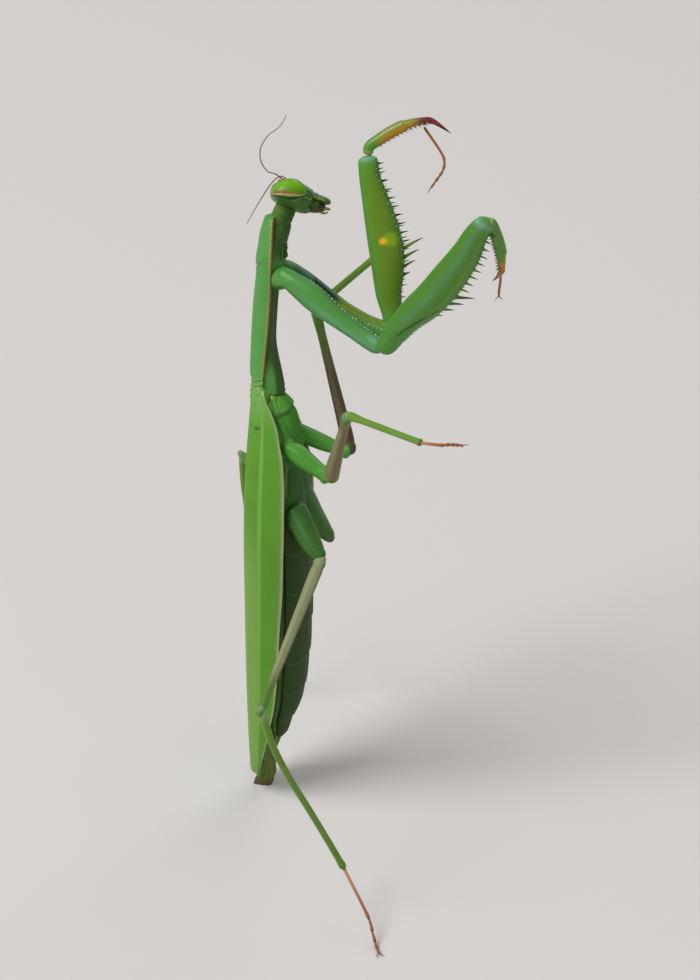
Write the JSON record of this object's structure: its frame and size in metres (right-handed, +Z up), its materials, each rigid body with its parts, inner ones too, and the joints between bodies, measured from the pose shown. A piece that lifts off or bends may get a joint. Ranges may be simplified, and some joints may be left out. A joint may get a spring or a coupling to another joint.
{
  "type": "praying mantis",
  "caption": "Green praying mantis reared upright with raised spined fore legs, long folded wings and a turned head, modelled at life size.",
  "frame": {"origin": "on the ground, on the flat tip of the folded hind wings", "axes": "+Z up, from the wing tips towards the head; +X towards the belly side; +Y towards its left side"},
  "size_m": [0.0353, 0.0492, 0.0731],
  "materials": {
    "antenna": "fine ringed satin",
    "cuticle_dark": "satin cuticle",
    "cuticle_green": "satin cuticle",
    "compound_eye": "smooth, moist shine",
    "walking_femur": "satin with a bluish sheen",
    "fore_leg": "satin cuticle",
    "hind_wing": "thin folded satin",
    "jaw": "dark horn",
    "palp": "satin",
    "tarsus": "satin",
    "fore_wing": "leathery satin with fine veins"
  },
  "bodies": {
    "root": {"abdomen_1": "cuticle_dark", "abdomen_2": "cuticle_dark", "abdomen_3": "cuticle_dark", "abdomen_4": "cuticle_dark", "abdomen_5": "cuticle_dark", "abdomen_6": "cuticle_dark", "abdomen_7": "cuticle_dark", "antenna_left": "antenna", "antenna_right": "antenna", "cercus_left": "cuticle_dark", "cercus_right": "cuticle_dark", "eye_left": "compound_eye", "eye_right": "compound_eye", "fore_coxa_left": "fore_leg", "fore_coxa_right": "fore_leg", "fore_femur_left": "fore_leg", "fore_femur_right": "fore_leg", "fore_tarsus_left": "tarsus", "fore_tarsus_right": "tarsus", "fore_tibia_left": "fore_leg", "fore_tibia_right": "fore_leg", "fore_trochanter_left": "fore_leg", "fore_trochanter_right": "fore_leg", "head": "cuticle_green", "hind_coxa_left": "cuticle_green", "hind_coxa_right": "cuticle_green", "hind_femur_left": "walking_femur", "hind_femur_right": "walking_femur", "hind_tarsus_left": "tarsus", "hind_tarsus_right": "tarsus", "hind_tibia_left": "cuticle_green", "hind_tibia_right": "cuticle_green", "hind_wing_left": "hind_wing", "hind_wing_right": "hind_wing", "labium": "cuticle_green", "labrum": "cuticle_green", "mandible_left": "jaw", "mandible_right": "jaw", "mesothorax": "cuticle_green", "metathorax": "cuticle_dark", "mid_coxa_left": "cuticle_green", "mid_coxa_right": "cuticle_green", "mid_femur_left": "walking_femur", "mid_femur_right": "walking_femur", "mid_tarsus_left": "tarsus", "mid_tarsus_right": "tarsus", "mid_tibia_left": "cuticle_green", "mid_tibia_right": "cuticle_green", "neck": "cuticle_dark", "palp_left": "palp", "palp_right": "palp", "pronotum": "fore_leg", "prothorax_underside": "cuticle_dark", "tegmen_left": "fore_wing", "tegmen_right": "fore_wing"}
  },
  "joints": []
}
